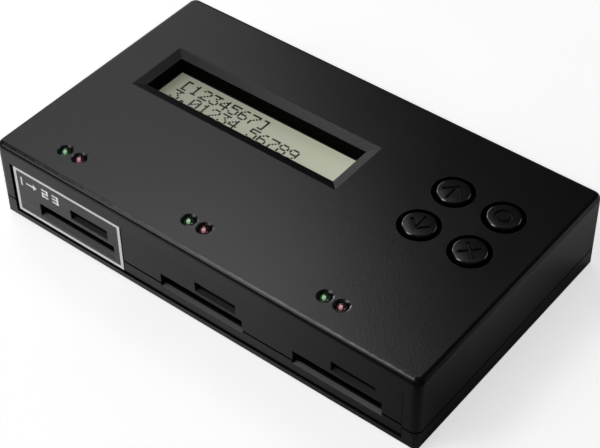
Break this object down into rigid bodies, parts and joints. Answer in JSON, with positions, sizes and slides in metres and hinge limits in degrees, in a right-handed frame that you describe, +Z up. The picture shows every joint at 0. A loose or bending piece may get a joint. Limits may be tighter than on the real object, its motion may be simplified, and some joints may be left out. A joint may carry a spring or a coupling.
{
  "type": "memory card duplicator",
  "caption": "Flat desktop memory card duplicator: black two-part case with card slots and lamps along the front, a character display and round push buttons on top.",
  "frame": {"origin": "on the table, under the middle of the case", "axes": "+X along the front from the source station to the last target station, +Y from the front to the rear wall, +Z up"},
  "size_m": [0.138, 0.081, 0.026],
  "materials": {
    "case_plastic": "fine textured satin black",
    "panel_plastic": "fine textured satin black",
    "label_film": "clear film with a pale printed border",
    "button_plastic": "smooth satin black",
    "plunger_plastic": "satin",
    "switch_plastic": "satin",
    "board_laminate": "solder-masked laminate",
    "bezel_steel": "black satin",
    "display_glass": "pale grey-green display cell",
    "light_guide": "clear",
    "contact_rubber": "matt",
    "header_plastic": "satin",
    "green_lens": "clear tinted",
    "red_lens": "clear tinted",
    "socket_plastic": "satin",
    "shell_steel": "bright rolled sheet",
    "chip_plastic": "matt",
    "can_metal": "drawn",
    "screw_steel": "zinc plated",
    "foot_rubber": "matt"
  },
  "bodies": {
    "case": {"bottom_cover": "case_plastic", "top_cover": "case_plastic", "upper_front_panel": "panel_plastic", "lower_front_panel": "panel_plastic", "source_label": "label_film", "main_board": "board_laminate", "display_board": "board_laminate", "key_board": "board_laminate", "display_bezel": "bezel_steel", "display_glass": "display_glass", "display_light_guide": "light_guide", "display_contact_strips": "contact_rubber", "display_header": "header_plastic", "key_header": "header_plastic", "power_jack": "socket_plastic", "controller_chip": "chip_plastic", "memory_chip": "chip_plastic", "clock_crystal": "can_metal", "supply_capacitor": "can_metal", "case_screws": "screw_steel", "board_screws": "screw_steel", "display_screws": "screw_steel", "key_board_screws": "screw_steel", "foot_front_left": "foot_rubber", "foot_front_right": "foot_rubber", "foot_back_left": "foot_rubber", "foot_back_right": "foot_rubber", "switch_up": "switch_plastic", "switch_enter": "switch_plastic", "switch_down": "switch_plastic", "switch_cancel": "switch_plastic", "green_lamp_1": "green_lens", "red_lamp_1": "red_lens", "sd_socket_1": "socket_plastic", "sd_shell_1": "shell_steel", "micro_socket_1": "socket_plastic", "micro_shell_1": "shell_steel", "green_lamp_2": "green_lens", "red_lamp_2": "red_lens", "sd_socket_2": "socket_plastic", "sd_shell_2": "shell_steel", "micro_socket_2": "socket_plastic", "micro_shell_2": "shell_steel", "green_lamp_3": "green_lens", "red_lamp_3": "red_lens", "sd_socket_3": "socket_plastic", "sd_shell_3": "shell_steel", "micro_socket_3": "socket_plastic", "micro_shell_3": "shell_steel"},
    "up_button": {"button_up": "button_plastic", "plunger_up": "plunger_plastic"},
    "enter_button": {"button_enter": "button_plastic", "plunger_enter": "plunger_plastic"},
    "down_button": {"button_down": "button_plastic", "plunger_down": "plunger_plastic"},
    "cancel_button": {"button_cancel": "button_plastic", "plunger_cancel": "plunger_plastic"}
  },
  "joints": [
    {"name": "up_press", "type": "slide", "parent": "case", "child": "up_button", "axis": [0, 0, -1], "range_m": [0, 0.0005], "stiffness_N_per_m": 3200},
    {"name": "enter_press", "type": "slide", "parent": "case", "child": "enter_button", "axis": [0, 0, -1], "range_m": [0, 0.0005], "stiffness_N_per_m": 3200},
    {"name": "down_press", "type": "slide", "parent": "case", "child": "down_button", "axis": [0, 0, -1], "range_m": [0, 0.0005], "stiffness_N_per_m": 3200},
    {"name": "cancel_press", "type": "slide", "parent": "case", "child": "cancel_button", "axis": [0, 0, -1], "range_m": [0, 0.0005], "stiffness_N_per_m": 3200}
  ]
}
